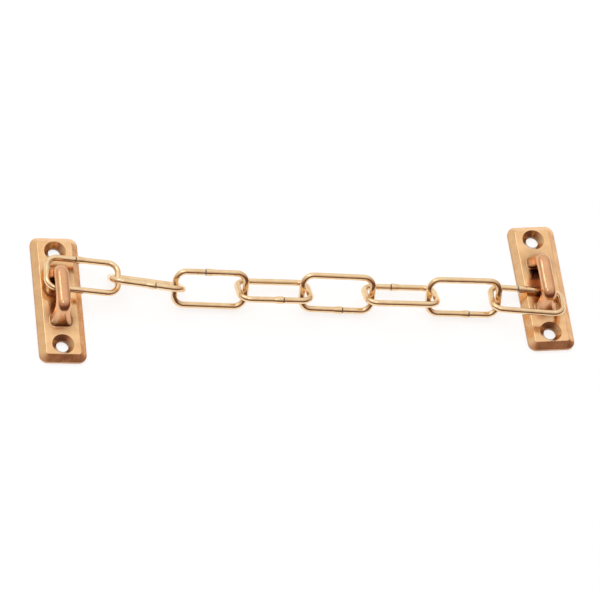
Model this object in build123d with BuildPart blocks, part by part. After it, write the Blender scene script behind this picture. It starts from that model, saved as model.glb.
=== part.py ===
"""Door chain: two cast brass plates with staples, joined by eight bent-wire links.

The chain lies on its plates' backs. The origin is the middle of the left plate's back, +Z points
out of the plate's face, +Y runs along the left plate and +X runs towards the chain.
"""

import os
from math import cos, radians, sin

from build123d import *

# Plate, in millimetres
PLATE_LENGTH = 56.0
PLATE_WIDTH = 19.0
PLATE_THICKNESS = 3.2
PLATE_CORNER_RADIUS = 3.4
EDGE_HEIGHT = 1.1
BEVEL_WIDTH = 2.6
ARRIS_RADIUS = 0.5

# Screw holes, for countersunk wood screws
SCREW_SPACING = 42.0
SCREW_HOLE_DIAMETER = 5.0
COUNTERSINK_DIAMETER = 8.8
COUNTERSINK_ANGLE = 90.0

# Staple, a bridge cast on the plate's face with its crest along the plate
STAPLE_LENGTH = 27.0
STAPLE_LEG_LEAN = 4.0
STAPLE_LEG_THICKNESS = 5.0
CREST_THICKNESS = 3.0
CREST_WIDTH = 5.8
FOOT_WIDTH = 10.2
FLARE_HEIGHT = 6.0
SHOULDER_RADIUS = 5.0
CREST_EDGE_RADIUS = 2.4
EYE_EDGE_RADIUS = 0.8
FOOT_FILLET_RADIUS = 0.6
STAPLE_ROOT = 0.8

# Links, bent from round wire
WIRE_DIAMETER = 2.5
LINK_INNER_LENGTH = 26.0
LINK_INNER_WIDTH = 11.6
LINK_BEND_RADIUS = 4.2
SEAM_OFFSET = 2.6
SEAM_GAP = 0.25
SWOLLEN_DIAMETER = 3.1
SWOLLEN_LENGTH = 3.4
CUT_EDGE_CHAMFER = 0.2

# Clearances
LINK_PLAY = 0.3
STAPLE_PLAY = 0.3
FLOOR_PLAY = 0.15
EYE_PLAY = 1.4
SMALL = 0.01

# How the chain lies: each link's heading, its roll and the side of its seam
LINK_HEADING_ANGLES = (-5.4, -7.5, -0.9, -0.4, -1.4, -0.4, -0.4, -3.4)
LINK_ROLL_ANGLES = (-3.0, -54.0, 52.0, -30.0, 50.0, -33.0, 50.0, -22.0)
SEAM_ON_FAR_SIDE = (True, False, True, False, False, True, False, True)
RIGHT_PLATE_TURN_ANGLE = 4.0
FIRST_LINK_SHIFT = -0.5
LAST_LINK_SHIFT = 0.8

# Sizes that follow from the ones above
WIRE_RADIUS = WIRE_DIAMETER / 2
HALF_REACH = (LINK_INNER_LENGTH + WIRE_DIAMETER) / 2
HALF_SPREAD = (LINK_INNER_WIDTH + WIRE_DIAMETER) / 2
BEVEL_HEIGHT = PLATE_THICKNESS - EDGE_HEIGHT
STAPLE_BASE = PLATE_THICKNESS - STAPLE_ROOT
HALF_STAPLE = STAPLE_LENGTH / 2
HALF_EYE = HALF_STAPLE - STAPLE_LEG_THICKNESS
SWOLLEN_END = SEAM_GAP / 2 - SEAM_OFFSET
PLAIN_END = -SEAM_GAP / 2 - SEAM_OFFSET
STEEPEST_ROLL = max(abs(roll) for roll in LINK_ROLL_ANGLES)
END_ROLL = max(abs(LINK_ROLL_ANGLES[0]), abs(LINK_ROLL_ANGLES[-1]))

# Heights: the chain's middle line clears the floor and the plates, and the staple clears the wire
LYING_HEIGHT = HALF_SPREAD * sin(radians(STEEPEST_ROLL)) + WIRE_RADIUS + FLOOR_PLAY
PLATE_CLEAR_HEIGHT = PLATE_THICKNESS + HALF_SPREAD * sin(radians(END_ROLL)) + WIRE_RADIUS + STAPLE_PLAY
CHAIN_HEIGHT = max(LYING_HEIGHT, PLATE_CLEAR_HEIGHT)
EYE_TOP = CHAIN_HEIGHT + HALF_SPREAD * sin(radians(abs(LINK_ROLL_ANGLES[0]))) + WIRE_RADIUS + EYE_PLAY
CREST_TOP = EYE_TOP + CREST_THICKNESS
FLARE_TOP = PLATE_THICKNESS + FLARE_HEIGHT
LEG_SLOPE = STAPLE_LEG_LEAN / (CREST_TOP - STAPLE_BASE)
EYE_LEAN = LEG_SLOPE * (EYE_TOP - STAPLE_BASE)
LEG_MIDDLE = HALF_STAPLE - STAPLE_LEG_THICKNESS / 2 - LEG_SLOPE * (CHAIN_HEIGHT - STAPLE_BASE)

# Staple, made first because the plate takes it in
with BuildPart() as staple:
    with BuildSketch(Plane.YZ) as staple_side:
        with BuildLine():
            Polyline(
                (-HALF_STAPLE, STAPLE_BASE),
                (-HALF_STAPLE + STAPLE_LEG_LEAN, CREST_TOP),
                (HALF_STAPLE - STAPLE_LEG_LEAN, CREST_TOP),
                (HALF_STAPLE, STAPLE_BASE),
                close=True,
            )
        make_face()
        fillet(staple_side.vertices().group_by(Axis.Y)[-1], radius=SHOULDER_RADIUS)
        with BuildLine():
            FilletPolyline(
                (-HALF_EYE, STAPLE_BASE),
                (-HALF_EYE + EYE_LEAN, EYE_TOP),
                (HALF_EYE - EYE_LEAN, EYE_TOP),
                (HALF_EYE, STAPLE_BASE),
                radius=SHOULDER_RADIUS - CREST_THICKNESS / 2,
            )
            Line((HALF_EYE, STAPLE_BASE), (-HALF_EYE, STAPLE_BASE))
        make_face(mode=Mode.SUBTRACT)
    extrude(amount=FOOT_WIDTH / 2, both=True)
    with BuildSketch(Plane.XZ) as staple_front:
        with BuildLine():
            Line((0, STAPLE_BASE), (FOOT_WIDTH / 2, STAPLE_BASE))
            TangentArc((CREST_WIDTH / 2, FLARE_TOP), (FOOT_WIDTH / 2, STAPLE_BASE), tangent=(0, -1))
            Line((CREST_WIDTH / 2, FLARE_TOP), (CREST_WIDTH / 2, CREST_TOP))
            Line((CREST_WIDTH / 2, CREST_TOP), (0, CREST_TOP))
            mirror(about=Plane.YZ)
        make_face()
    extrude(amount=HALF_STAPLE, both=True, mode=Mode.INTERSECT)
    rims = staple.edges().filter_by(Axis.X, reverse=True)
    rims = rims.filter_by(lambda rim: rim.center().Z > PLATE_THICKNESS)
    rims = rims.filter_by(lambda rim: abs(rim.center().Z - FLARE_TOP) > SMALL)
    eye_rims = rims.filter_by(lambda rim: abs(rim.center().Y) < HALF_EYE + SMALL)
    eye_rims = eye_rims.filter_by(lambda rim: rim.center().Z < EYE_TOP + SMALL)
    outer_rims = [rim for rim in rims if rim not in eye_rims]
    fillet(outer_rims, radius=CREST_EDGE_RADIUS)
    fillet(eye_rims, radius=EYE_EDGE_RADIUS)

# Plate with its staple, on its back
with BuildPart() as plate:
    with BuildSketch() as plate_outline:
        RectangleRounded(PLATE_WIDTH, PLATE_LENGTH, PLATE_CORNER_RADIUS)
    extrude(amount=PLATE_THICKNESS)
    face = plate.faces().sort_by(Axis.Z)[-1]
    chamfer(face.edges(), length=BEVEL_WIDTH, length2=BEVEL_HEIGHT, reference=face)
    fillet(plate.faces().sort_by(Axis.Z)[-1].edges(), radius=ARRIS_RADIUS)
    add(staple.part)
    face = plate.faces().filter_by(Axis.Z).sort_by(SortBy.AREA)[-2]
    feet = [edge for wire in face.inner_wires() for edge in wire.edges()]
    fillet(feet, radius=FOOT_FILLET_RADIUS)
    with Locations(Plane.XY.offset(PLATE_THICKNESS)):
        with GridLocations(0, SCREW_SPACING, 1, 2):
            CounterSinkHole(
                SCREW_HOLE_DIAMETER / 2,
                COUNTERSINK_DIAMETER / 2,
                counter_sink_angle=COUNTERSINK_ANGLE,
            )

# Link, lying flat about its middle with the seam in its side at +Y
with BuildPart() as link:
    with BuildLine() as wire_path:
        FilletPolyline(
            (SWOLLEN_END, HALF_SPREAD),
            (HALF_REACH, HALF_SPREAD),
            (HALF_REACH, -HALF_SPREAD),
            (-HALF_REACH, -HALF_SPREAD),
            (-HALF_REACH, HALF_SPREAD),
            (PLAIN_END, HALF_SPREAD),
            radius=LINK_BEND_RADIUS,
        )
    with BuildSketch(Plane(origin=wire_path.line @ 0, z_dir=wire_path.line % 0)) as wire_section:
        Circle(WIRE_RADIUS)
    sweep()
    with BuildSketch() as swollen_profile:
        with BuildLine():
            Polyline(
                (SWOLLEN_END + SWOLLEN_LENGTH, HALF_SPREAD + WIRE_RADIUS),
                (SWOLLEN_END + SWOLLEN_LENGTH, HALF_SPREAD),
                (SWOLLEN_END, HALF_SPREAD),
                (SWOLLEN_END, HALF_SPREAD + SWOLLEN_DIAMETER / 2),
            )
            TangentArc(
                (SWOLLEN_END, HALF_SPREAD + SWOLLEN_DIAMETER / 2),
                (SWOLLEN_END + SWOLLEN_LENGTH, HALF_SPREAD + WIRE_RADIUS),
                tangent=(1, 0),
            )
        make_face()
    revolve(axis=Axis((0, HALF_SPREAD, 0), (1, 0, 0)))
    cuts = link.faces().filter_by(Axis.X).sort_by(Axis.Y)[-2:]
    chamfer(cuts.edges(), length=CUT_EDGE_CHAMFER)


def directions(heading, roll):
    """Return the directions along and across a link that lies with this heading and roll."""
    heading = radians(heading)
    roll = radians(roll)
    along = Vector(cos(heading), sin(heading), 0)
    across = Vector(-sin(heading) * cos(roll), cos(heading) * cos(roll), sin(roll))
    return along, across


def leg_seat(heading, roll, shift):
    """Return how far a link's end bar stands from the staple leg's middle when it bears on the leg."""
    end_drop = (HALF_SPREAD - LINK_BEND_RADIUS) * sin(radians(abs(roll)))
    height = CHAIN_HEIGHT - WIRE_RADIUS - end_drop - STAPLE_BASE
    flare_share = max(0, 1 - height / (FLARE_TOP - STAPLE_BASE))
    half_width = (CREST_WIDTH + (FOOT_WIDTH - CREST_WIDTH) * flare_share**2) / 2
    outer_depth = HALF_STAPLE - LEG_SLOPE * height - LEG_MIDDLE - shift
    side_reach = (half_width - CREST_EDGE_RADIUS) * cos(radians(heading))
    end_reach = (outer_depth - CREST_EDGE_RADIUS) * sin(radians(abs(heading)))
    return side_reach + end_reach + CREST_EDGE_RADIUS + WIRE_RADIUS + STAPLE_PLAY


# Places of the links: the first bears on the left plate's upper leg, each later one on its neighbour
first_along = directions(LINK_HEADING_ANGLES[0], LINK_ROLL_ANGLES[0])[0]
first_seat = leg_seat(LINK_HEADING_ANGLES[0], LINK_ROLL_ANGLES[0], FIRST_LINK_SHIFT)
passing_point = Vector(0, LEG_MIDDLE + FIRST_LINK_SHIFT, CHAIN_HEIGHT)
link_end = passing_point - first_along * first_seat
link_planes = []
link_pins = []
for heading, roll, seam_far in zip(LINK_HEADING_ANGLES, LINK_ROLL_ANGLES, SEAM_ON_FAR_SIDE):
    along, across = directions(heading, roll)
    if link_pins:
        link_end = link_pins[-1] - along * (WIRE_DIAMETER + LINK_PLAY)
    facing = along if seam_far else -along
    link_planes.append(Plane(link_end + along * HALF_REACH, x_dir=facing, z_dir=along.cross(across)))
    link_pins.append(link_end + along * HALF_REACH * 2)

# Place of the right plate, turned half round so that its lower leg is inside the last link
last_along = directions(LINK_HEADING_ANGLES[-1], LINK_ROLL_ANGLES[-1])[0]
last_turn = LINK_HEADING_ANGLES[-1] - RIGHT_PLATE_TURN_ANGLE
last_seat = leg_seat(last_turn, -LINK_ROLL_ANGLES[-1], LAST_LINK_SHIFT)
leg_way = -directions(RIGHT_PLATE_TURN_ANGLE, 0)[1]
right_middle = link_pins[-1] - last_along * last_seat - leg_way * (LEG_MIDDLE + LAST_LINK_SHIFT)
right_plane = Plane((right_middle.X, right_middle.Y, 0), x_dir=leg_way.cross(Vector(0, 0, 1)))

# One file for each piece
os.makedirs("parts", exist_ok=True)
pieces = {"left_plate": plate.part, "right_plate": plate.part.moved(right_plane.location)}
for number, plane in enumerate(link_planes, start=1):
    pieces[f"link_{number}"] = link.part.moved(plane.location)
for name, piece in pieces.items():
    piece.label = name
    export_step(piece, f"parts/{name}.step")
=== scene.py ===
"""Looks of the door chain: polished cast plates and bright drawn links in a coppery brass."""

from math import cos, radians, sin

import bpy
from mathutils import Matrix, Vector


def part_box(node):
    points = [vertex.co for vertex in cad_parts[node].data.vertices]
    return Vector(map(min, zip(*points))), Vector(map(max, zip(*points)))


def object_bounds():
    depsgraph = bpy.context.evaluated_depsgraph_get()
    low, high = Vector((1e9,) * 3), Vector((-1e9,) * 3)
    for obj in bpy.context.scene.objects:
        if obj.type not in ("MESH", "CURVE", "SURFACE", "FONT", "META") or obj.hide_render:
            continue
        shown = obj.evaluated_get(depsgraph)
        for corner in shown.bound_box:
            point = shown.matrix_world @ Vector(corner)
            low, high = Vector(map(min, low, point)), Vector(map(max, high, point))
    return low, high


# Camera, as in the photograph, in degrees and metres
CAMERA_AZIMUTH = 24.1
CAMERA_ELEVATION = 57.9
CAMERA_ROLL = 22.0
CAMERA_DISTANCE = 4.0
PICTURE_WIDTH = 0.2378
SENSOR_WIDTH = 36.0
AIM_RIGHT = -0.0008
AIM_DOWN = 0.0034

# Brass, as linear colours
CAST_COLOUR = (0.95, 0.61, 0.32, 1.0)
CAST_DULL_COLOUR = (0.86, 0.50, 0.24, 1.0)
WIRE_COLOUR = (0.96, 0.72, 0.44, 1.0)
WIRE_DULL_COLOUR = (0.88, 0.61, 0.34, 1.0)
# Painted shade: each part's recesses are darkened towards this colour by its own ambient occlusion,
# standing in for the shade that falls there
RECESS_SHADE_COLOUR = (0.12, 0.045, 0.022, 1.0)
RECESS_SHADE_REACH = 0.006
RECESS_SHADE_FULL = 0.55
RECESS_SHADE_NONE = 1.0

# Surface of the brass: roughness from polished to dull, ripples of polishing and fine marks one way
CAST_POLISH = (0.15, 0.28)
CAST_RIPPLE_SCALE = 180.0
CAST_RIPPLE_DEPTH = 0.00018
CAST_MARK_SCALE = (2600.0, 240.0, 900.0)
CAST_MARK_DEPTH = 0.000012
WIRE_POLISH = (0.12, 0.26)
WIRE_RIPPLE_SCALE = 420.0
WIRE_RIPPLE_DEPTH = 0.00006
WIRE_MARK_SCALE = (260.0, 2600.0, 2600.0)
WIRE_MARK_DEPTH = 0.000010
CLOUD_SCALE = 260.0
CLOUD_DETAIL = 4.0
RIPPLE_DETAIL = 1.0
MARK_DETAIL = 3.0
NOISE_LOW = 0.3
NOISE_HIGH = 0.7

# Painted shade on a plate from its back to its crest: edge darkened and staple darkened and rosier,
# standing in for the dark surroundings they reflect; polished face left as it is
PLATE_HEIGHT = 0.0134
PLATE_THICKNESS = 0.0032
EDGE_PAINTED_SHADE = (0.60, 0.54, 0.52, 1.0)
FACE_TINT = (1.0, 1.0, 1.0, 1.0)
STAPLE_PAINTED_SHADE = (0.87, 0.77, 0.80, 1.0)
EDGE_TOP = 0.0010
FACE_BOTTOM = 0.0013
FACE_TOP = 0.0034
STAPLE_BOTTOM = 0.0060

# Studio
WHITE = (1.0, 1.0, 1.0, 1.0)
FLOOR_COLOUR = (0.93, 0.93, 0.93, 1.0)
FLOOR_ROUGHNESS = 0.9
FLOOR_SIZE = 6.0
FLOOR_GAP = 0.0002
FLOOR_GLOW = 0.40
FLOOR_COVER = 0.45
BACKDROP_DEPTH = 0.26
BRIGHT_SIDE = (-0.10, 0.60, 0.80)
DARKEST_FACING = -0.15
BRIGHTEST_FACING = 0.95
DARK_SIDE_COLOUR = (0.14, 0.075, 0.060, 1.0)
DARK_SIDE_END = 0.12
WARM_COLOUR = (0.50, 0.31, 0.27, 1.0)
WARM_PLACE = 0.31
PALE_COLOUR = (0.60, 0.57, 0.55, 1.0)
PALE_PLACE = 0.50
KEY_SOFTBOX = {"azimuth": 130.0, "elevation": 52.0, "distance": 0.9, "size": 0.3, "power": 0.45}
TOP_SOFTBOX = {"azimuth": 60.0, "elevation": 78.0, "distance": 1.0, "size": 0.3, "power": 0.35}


def direction(azimuth, elevation):
    """Return the unit vector from the object towards a viewer at this azimuth and elevation."""
    level = cos(radians(elevation))
    return Vector((
        -sin(radians(azimuth)) * level,
        -cos(radians(azimuth)) * level,
        sin(radians(elevation)),
    ))


def aim(item, target):
    """Turn a camera or lamp to look at a point."""
    item.rotation_euler = (target - item.location).to_track_quat("-Z", "Y").to_euler()


def new_material(name):
    """Return a new material and its node tree, emptied of all but the output."""
    material = bpy.data.materials.new(name)
    material.use_nodes = True
    tree = material.node_tree
    for node in list(tree.nodes):
        if node.type != "OUTPUT_MATERIAL":
            tree.nodes.remove(node)
    return material, tree


def output_of(tree):
    """Return the output node of a material's or world's tree."""
    return next(node for node in tree.nodes if node.type.startswith("OUTPUT"))


def noise(tree, coordinates, scale, detail):
    """Return a noise node's value in the part's own coordinates."""
    node = tree.nodes.new("ShaderNodeTexNoise")
    node.inputs["Scale"].default_value = scale
    node.inputs["Detail"].default_value = detail
    tree.links.new(coordinates, node.inputs["Vector"])
    return node.outputs["Fac"]


def ranged(tree, value, low, high, from_low=NOISE_LOW, from_high=NOISE_HIGH):
    """Return a value mapped to a range, from the middle of a noise unless told otherwise."""
    node = tree.nodes.new("ShaderNodeMapRange")
    node.inputs["From Min"].default_value = from_low
    node.inputs["From Max"].default_value = from_high
    node.inputs["To Min"].default_value = low
    node.inputs["To Max"].default_value = high
    tree.links.new(value, node.inputs["Value"])
    return node.outputs["Result"]


def stretched(tree, coordinates, scale):
    """Return coordinates stretched along the axes, for marks that run one way."""
    node = tree.nodes.new("ShaderNodeMapping")
    node.inputs["Scale"].default_value = scale
    tree.links.new(coordinates, node.inputs["Vector"])
    return node.outputs["Vector"]


def painted_shade_by_height(tree, coordinates, colour):
    """Return a plate's colour with painted shade by the height above its back: a darker edge and a darker,
    rosier staple stand in for their dark reflections.
    """
    split = tree.nodes.new("ShaderNodeSeparateXYZ")
    tree.links.new(coordinates, split.inputs["Vector"])
    painted_shades = tree.nodes.new("ShaderNodeValToRGB")
    stops = painted_shades.color_ramp.elements
    stops[0].position = EDGE_TOP / PLATE_HEIGHT
    stops[0].color = EDGE_PAINTED_SHADE
    stops[1].position = STAPLE_BOTTOM / PLATE_HEIGHT
    stops[1].color = STAPLE_PAINTED_SHADE
    stops.new(FACE_BOTTOM / PLATE_HEIGHT).color = FACE_TINT
    stops.new(FACE_TOP / PLATE_HEIGHT).color = FACE_TINT
    share = ranged(tree, split.outputs["Z"], 0.0, 1.0, from_low=0.0, from_high=PLATE_HEIGHT)
    tree.links.new(share, painted_shades.inputs["Fac"])
    with_painted_shade = tree.nodes.new("ShaderNodeMix")
    with_painted_shade.data_type = "RGBA"
    with_painted_shade.blend_type = "MULTIPLY"
    with_painted_shade.inputs["Factor"].default_value = 1.0
    tree.links.new(colour, with_painted_shade.inputs["A"])
    tree.links.new(painted_shades.outputs["Color"], with_painted_shade.inputs["B"])
    return with_painted_shade.outputs["Result"]


def brass(name, colour, dull_colour, polish, ripple_scale, ripple_depth, mark_scale, mark_depth, is_plate):
    """Return a brass: cloudy in tone, painted darker in its recesses as shade and, on a plate, by height
    as shade and reflection, with a soft ripple of hand polishing and fine marks one way.
    """
    material, tree = new_material(name)
    coordinates = tree.nodes.new("ShaderNodeTexCoord").outputs["Object"]
    shader = tree.nodes.new("ShaderNodeBsdfPrincipled")
    shader.inputs["Metallic"].default_value = 1.0

    clouds = ranged(tree, noise(tree, coordinates, CLOUD_SCALE, CLOUD_DETAIL), 0.0, 1.0)
    tone = tree.nodes.new("ShaderNodeMix")
    tone.data_type = "RGBA"
    tone.inputs["A"].default_value = colour
    tone.inputs["B"].default_value = dull_colour
    tree.links.new(clouds, tone.inputs["Factor"])
    # Painted shade in the recesses: the part's own ambient occlusion darkens its colour towards a dark
    # brown
    recesses = tree.nodes.new("ShaderNodeAmbientOcclusion")
    recesses.inputs["Distance"].default_value = RECESS_SHADE_REACH
    recesses.only_local = True
    recess_shade = tree.nodes.new("ShaderNodeMix")
    recess_shade.data_type = "RGBA"
    recess_shade.inputs["B"].default_value = RECESS_SHADE_COLOUR
    depth = ranged(tree, recesses.outputs["AO"], 1.0, 0.0, from_low=RECESS_SHADE_FULL, from_high=RECESS_SHADE_NONE)
    tree.links.new(depth, recess_shade.inputs["Factor"])
    colour_before_recess_shade = tone.outputs["Result"]
    # Plates get painted shade by height, standing in for the dark reflections of their edge and staple
    if is_plate:
        colour_before_recess_shade = painted_shade_by_height(tree, coordinates, colour_before_recess_shade)
    tree.links.new(colour_before_recess_shade, recess_shade.inputs["A"])
    tree.links.new(recess_shade.outputs["Result"], shader.inputs["Base Color"])

    marks = noise(tree, stretched(tree, coordinates, mark_scale), 1.0, MARK_DETAIL)
    tree.links.new(ranged(tree, marks, polish[0], polish[1]), shader.inputs["Roughness"])

    ripples = tree.nodes.new("ShaderNodeBump")
    ripples.inputs["Strength"].default_value = 1.0
    ripples.inputs["Distance"].default_value = ripple_depth
    tree.links.new(noise(tree, coordinates, ripple_scale, RIPPLE_DETAIL), ripples.inputs["Height"])
    scratches = tree.nodes.new("ShaderNodeBump")
    scratches.inputs["Strength"].default_value = 1.0
    scratches.inputs["Distance"].default_value = mark_depth
    tree.links.new(marks, scratches.inputs["Height"])
    tree.links.new(ripples.outputs["Normal"], scratches.inputs["Normal"])
    tree.links.new(scratches.outputs["Normal"], shader.inputs["Normal"])

    tree.links.new(shader.outputs["BSDF"], output_of(tree).inputs["Surface"])
    return material


def seen_directly(tree):
    """Return 1 for camera, mirror and glass rays and 0 for the light that falls on things."""
    path = tree.nodes.new("ShaderNodeLightPath")
    mirror_or_glass = tree.nodes.new("ShaderNodeMath")
    mirror_or_glass.operation = "MAXIMUM"
    tree.links.new(path.outputs["Is Glossy Ray"], mirror_or_glass.inputs[0])
    tree.links.new(path.outputs["Is Transmission Ray"], mirror_or_glass.inputs[1])
    any_of_them = tree.nodes.new("ShaderNodeMath")
    any_of_them.operation = "MAXIMUM"
    tree.links.new(path.outputs["Is Camera Ray"], any_of_them.inputs[0])
    tree.links.new(mirror_or_glass.outputs["Value"], any_of_them.inputs[1])
    return any_of_them.outputs["Value"]


def make_sheet(name, height, material):
    """Lay a level square sheet that isn't part of the object."""
    bpy.ops.mesh.primitive_plane_add(size=FLOOR_SIZE, location=(0, 0, height))
    sheet = bpy.context.object
    sheet.name = name
    sheet.data.materials.append(material)


def make_floor(height):
    """Lay a milky white floor that keeps the shadows, over a white backdrop that shows through it."""
    material, tree = new_material("milky_sheet")
    shader = tree.nodes.new("ShaderNodeBsdfPrincipled")
    shader.inputs["Base Color"].default_value = FLOOR_COLOUR
    shader.inputs["Roughness"].default_value = FLOOR_ROUGHNESS
    shader.inputs["Specular IOR Level"].default_value = 0.0
    shader.inputs["Emission Color"].default_value = WHITE
    glow = tree.nodes.new("ShaderNodeMath")
    glow.operation = "MULTIPLY"
    glow.inputs[1].default_value = FLOOR_GLOW
    tree.links.new(seen_directly(tree), glow.inputs[0])
    tree.links.new(glow.outputs["Value"], shader.inputs["Emission Strength"])
    clear = tree.nodes.new("ShaderNodeBsdfTransparent")
    milky = tree.nodes.new("ShaderNodeMixShader")
    milky.inputs["Fac"].default_value = FLOOR_COVER
    tree.links.new(clear.outputs["BSDF"], milky.inputs[1])
    tree.links.new(shader.outputs["BSDF"], milky.inputs[2])
    tree.links.new(milky.outputs["Shader"], output_of(tree).inputs["Surface"])
    make_sheet("floor", height, material)

    material, tree = new_material("white_backdrop")
    white = tree.nodes.new("ShaderNodeEmission")
    white.inputs["Color"].default_value = WHITE
    tree.links.new(seen_directly(tree), white.inputs["Strength"])
    tree.links.new(white.outputs["Emission"], output_of(tree).inputs["Surface"])
    make_sheet("backdrop", height - BACKDROP_DEPTH, material)


def make_world():
    """Light the scene from a studio that is white above and behind and warm and dark at the front."""
    world = bpy.data.worlds.new("studio")
    bpy.context.scene.world = world
    world.use_nodes = True
    tree = world.node_tree
    tree.nodes.clear()
    output = tree.nodes.new("ShaderNodeOutputWorld")
    coordinates = tree.nodes.new("ShaderNodeTexCoord").outputs["Generated"]
    facing = tree.nodes.new("ShaderNodeVectorMath")
    facing.operation = "DOT_PRODUCT"
    facing.inputs[1].default_value = Vector(BRIGHT_SIDE).normalized()
    tree.links.new(coordinates, facing.inputs[0])
    level = ranged(
        tree,
        facing.outputs["Value"],
        0.0,
        1.0,
        from_low=DARKEST_FACING,
        from_high=BRIGHTEST_FACING,
    )
    fade = tree.nodes.new("ShaderNodeValToRGB")
    fade.color_ramp.elements[0].color = DARK_SIDE_COLOUR
    fade.color_ramp.elements[1].color = WHITE
    fade.color_ramp.elements.new(DARK_SIDE_END).color = DARK_SIDE_COLOUR
    fade.color_ramp.elements.new(WARM_PLACE).color = WARM_COLOUR
    fade.color_ramp.elements.new(PALE_PLACE).color = PALE_COLOUR
    tree.links.new(level, fade.inputs["Fac"])
    studio = tree.nodes.new("ShaderNodeBackground")
    tree.links.new(fade.outputs["Color"], studio.inputs["Color"])
    tree.links.new(studio.outputs["Background"], output.inputs["Surface"])


def make_softbox(name, target, azimuth, elevation, distance, size, power):
    """Hang a square softbox that looks at the target."""
    lamp = bpy.data.lights.new(name, "AREA")
    lamp.size = size
    lamp.energy = power
    softbox = bpy.data.objects.new(name, lamp)
    bpy.context.collection.objects.link(softbox)
    softbox.location = target + direction(azimuth, elevation) * distance
    aim(softbox, target)


def make_camera(middle):
    """Place the camera at the photograph's angle, rolled as there and aimed a little below the middle."""
    lens = bpy.data.cameras.new("camera")
    lens.sensor_width = SENSOR_WIDTH
    lens.lens = SENSOR_WIDTH * CAMERA_DISTANCE / PICTURE_WIDTH
    camera = bpy.data.objects.new("camera", lens)
    bpy.context.collection.objects.link(camera)
    camera.location = middle + direction(CAMERA_AZIMUTH, CAMERA_ELEVATION) * CAMERA_DISTANCE
    aim(camera, middle)
    camera.rotation_euler.rotate_axis("Z", radians(CAMERA_ROLL))
    turned = camera.rotation_euler.to_matrix()
    camera.location += turned @ Vector((AIM_RIGHT, -AIM_DOWN, 0))
    bpy.context.scene.camera = camera


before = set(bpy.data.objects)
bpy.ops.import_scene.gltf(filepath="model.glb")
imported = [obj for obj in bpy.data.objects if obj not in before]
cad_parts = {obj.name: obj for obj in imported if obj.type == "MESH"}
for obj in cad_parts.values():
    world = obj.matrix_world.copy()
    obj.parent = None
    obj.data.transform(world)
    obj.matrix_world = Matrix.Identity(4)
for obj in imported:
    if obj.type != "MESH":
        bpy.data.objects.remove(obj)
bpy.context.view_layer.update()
bpy.context.scene.view_settings.view_transform = "Standard"

cast = brass(
    "cast_brass",
    CAST_COLOUR,
    CAST_DULL_COLOUR,
    polish=CAST_POLISH,
    ripple_scale=CAST_RIPPLE_SCALE,
    ripple_depth=CAST_RIPPLE_DEPTH,
    mark_scale=CAST_MARK_SCALE,
    mark_depth=CAST_MARK_DEPTH,
    is_plate=True,
)
wire = brass(
    "brass_wire",
    WIRE_COLOUR,
    WIRE_DULL_COLOUR,
    polish=WIRE_POLISH,
    ripple_scale=WIRE_RIPPLE_SCALE,
    ripple_depth=WIRE_RIPPLE_DEPTH,
    mark_scale=WIRE_MARK_SCALE,
    mark_depth=WIRE_MARK_DEPTH,
    is_plate=False,
)
for name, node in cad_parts.items():
    node.data.materials.clear()
    node.data.materials.append(cast if "plate" in name else wire)

lowest = Vector(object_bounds()[0])
left_low, left_high = (Vector(corner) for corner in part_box("left_plate"))
right_low, right_high = (Vector(corner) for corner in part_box("right_plate"))
middle = (left_low + left_high + right_low + right_high) / 4
middle.z = lowest.z + PLATE_THICKNESS

make_floor(lowest.z - FLOOR_GAP)
make_world()
make_softbox("key", middle, **KEY_SOFTBOX)
make_softbox("top", middle, **TOP_SOFTBOX)
make_camera(middle)
